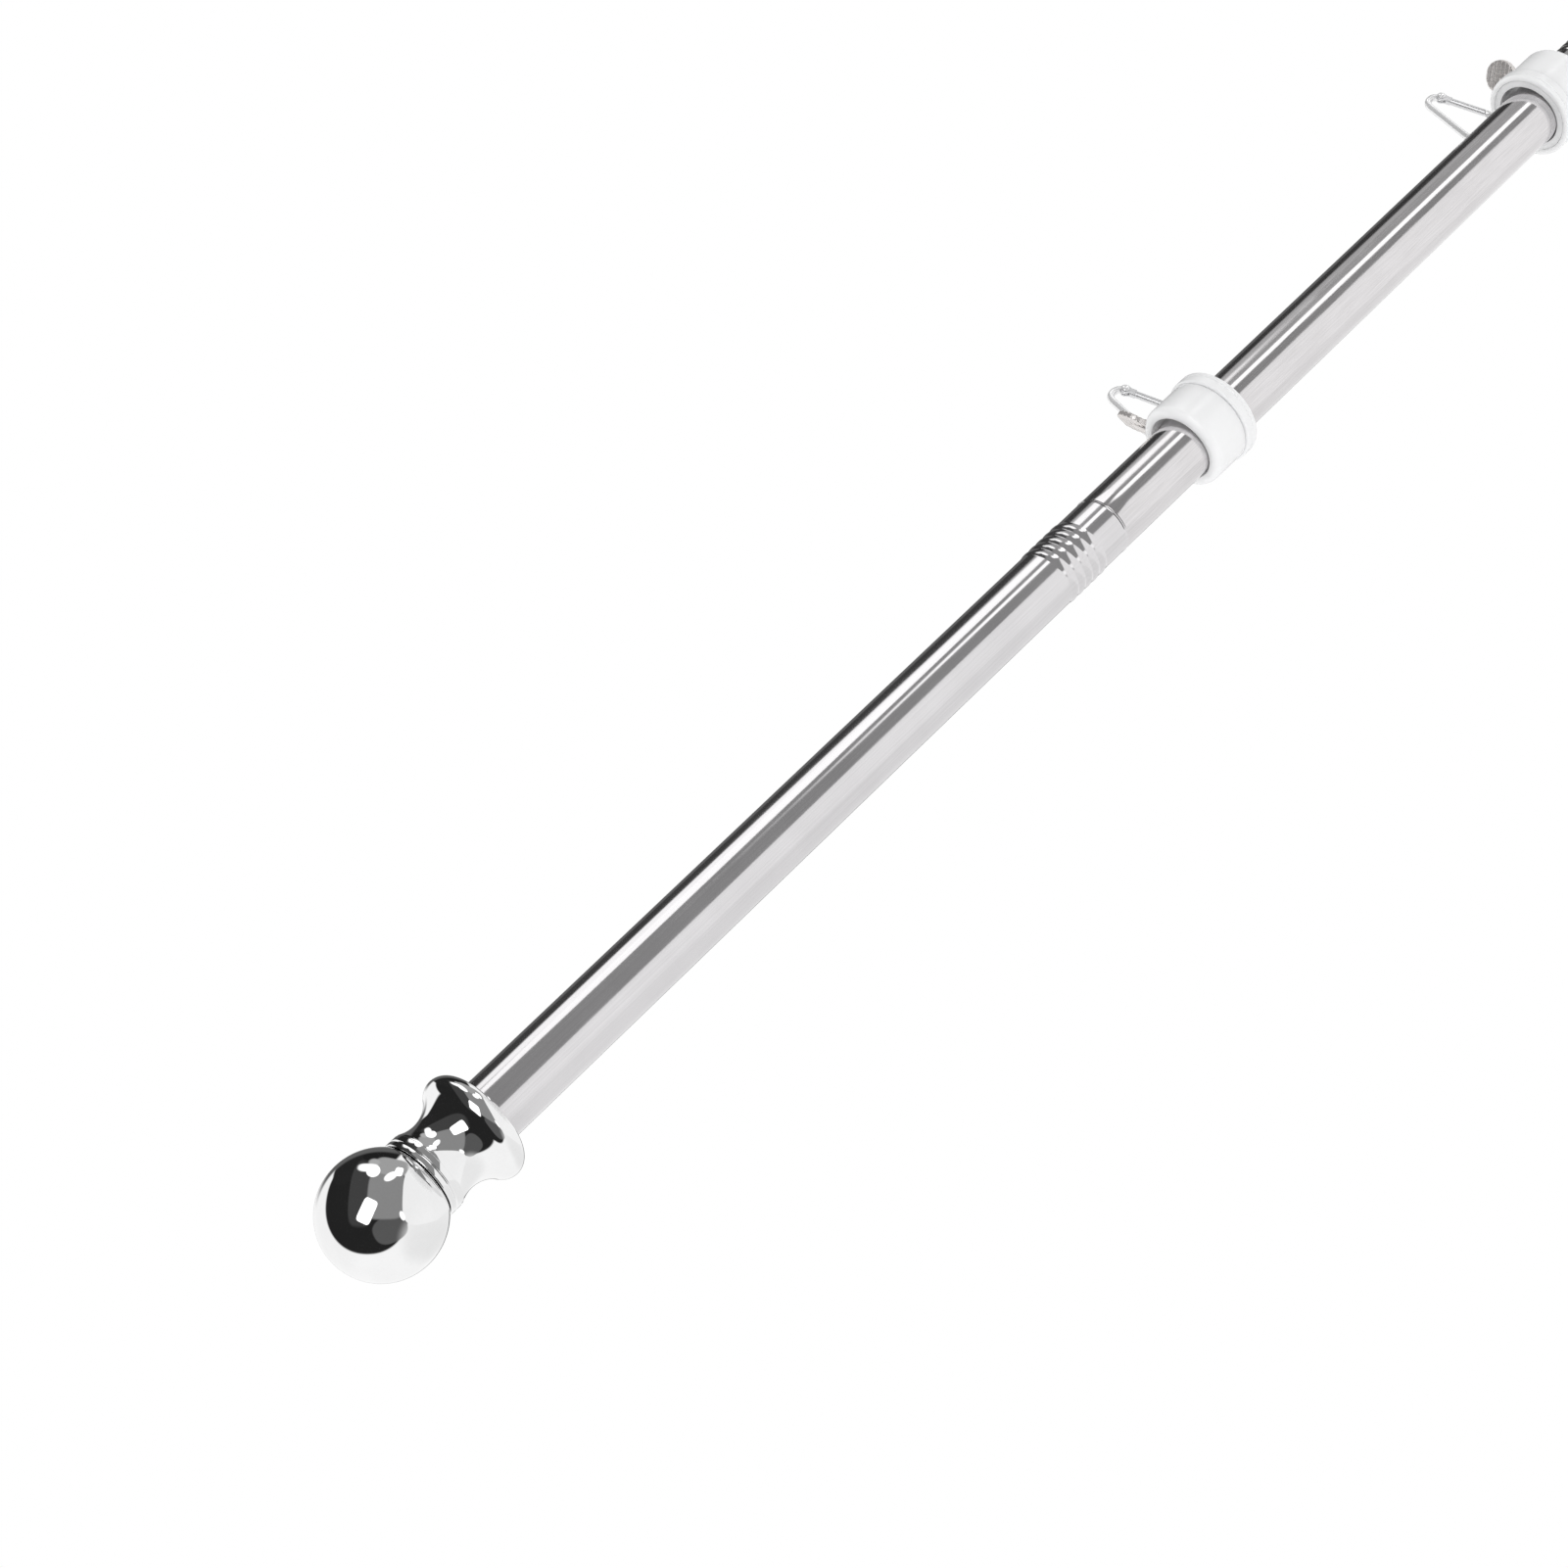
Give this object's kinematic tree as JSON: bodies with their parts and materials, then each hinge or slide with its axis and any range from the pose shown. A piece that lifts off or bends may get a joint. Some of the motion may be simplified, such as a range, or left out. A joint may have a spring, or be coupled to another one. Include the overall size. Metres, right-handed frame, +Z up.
{
  "type": "wall flagpole",
  "caption": "Slim sectional steel flagpole with a ball finial, screw-joined tubes, and clamped swivel rings that carry snap hooks for a flag.",
  "frame": {"origin": "centre of the flat foot of the butt's end plug", "axes": "+Z up the pole to the ball, +X the way the snap hooks point at rest, +Y away from the picture's side"},
  "size_m": [0.0749, 0.0471, 1.577],
  "materials": {
    "chrome_finial": "mirror-bright plated moulding",
    "steel_tube": "polished stainless tube with a fine lengthwise grain",
    "ring_plastic": "white gloss moulding",
    "screw_metal": "satin cast metal",
    "hook_steel": "polished wire",
    "plug_plastic": "black moulding"
  },
  "bodies": {
    "pole": {"finial_ball": "chrome_finial", "finial_base": "chrome_finial", "pole_section_1": "steel_tube", "pole_section_2": "steel_tube", "pole_section_3": "steel_tube", "pole_section_4": "steel_tube", "end_plug": "plug_plastic"},
    "ring_1": {"clamp_sleeve_1": "ring_plastic", "thumb_screw_1": "screw_metal"},
    "collar_1": {"swivel_collar_1": "ring_plastic"},
    "hook_1": {"snap_hook_1": "hook_steel", "hook_rivet_1": "hook_steel"},
    "gate_1": {"hook_gate_1": "hook_steel"},
    "ring_2": {"clamp_sleeve_2": "ring_plastic", "thumb_screw_2": "screw_metal"},
    "collar_2": {"swivel_collar_2": "ring_plastic"},
    "hook_2": {"snap_hook_2": "hook_steel", "hook_rivet_2": "hook_steel"},
    "gate_2": {"hook_gate_2": "hook_steel"}
  },
  "joints": [
    {"name": "ring_1_slide", "type": "slide", "parent": "pole", "child": "ring_1", "axis": [0, 0, 1], "range_m": [-0.095, 0.048]},
    {"name": "collar_1_turn", "type": "hinge", "parent": "ring_1", "child": "collar_1", "pos_m": [0.00126, 0.00034, 1.07005], "axis": [0, 0, 1], "continuous": true},
    {"name": "hook_1_swing", "type": "hinge", "parent": "collar_1", "child": "hook_1", "pos_m": [0.01507, 0.01935, 1.07005], "axis": [0, 0, 1], "range_deg": [-21, 129]},
    {"name": "gate_1_open", "type": "hinge", "parent": "hook_1", "child": "gate_1", "pos_m": [0.04679, 0.01935, 1.06595], "axis": [0, 1, 0], "range_deg": [0, 30], "stiffness_Nm_per_rad": 0.01, "springref_deg": -28.65},
    {"name": "ring_2_slide", "type": "slide", "parent": "pole", "child": "ring_2", "axis": [0, 0, 1], "range_m": [-0.006, 0.095]},
    {"name": "collar_2_turn", "type": "hinge", "parent": "ring_2", "child": "collar_2", "pos_m": [0.00126, 0.00034, 0.83395], "axis": [0, 0, 1], "continuous": true},
    {"name": "hook_2_swing", "type": "hinge", "parent": "collar_2", "child": "hook_2", "pos_m": [0.01507, 0.01935, 0.83395], "axis": [0, 0, 1], "range_deg": [-21, 129]},
    {"name": "gate_2_open", "type": "hinge", "parent": "hook_2", "child": "gate_2", "pos_m": [0.04614, 0.01935, 0.83322], "axis": [0, 1, 0], "range_deg": [0, 30], "stiffness_Nm_per_rad": 0.01, "springref_deg": -28.65}
  ]
}
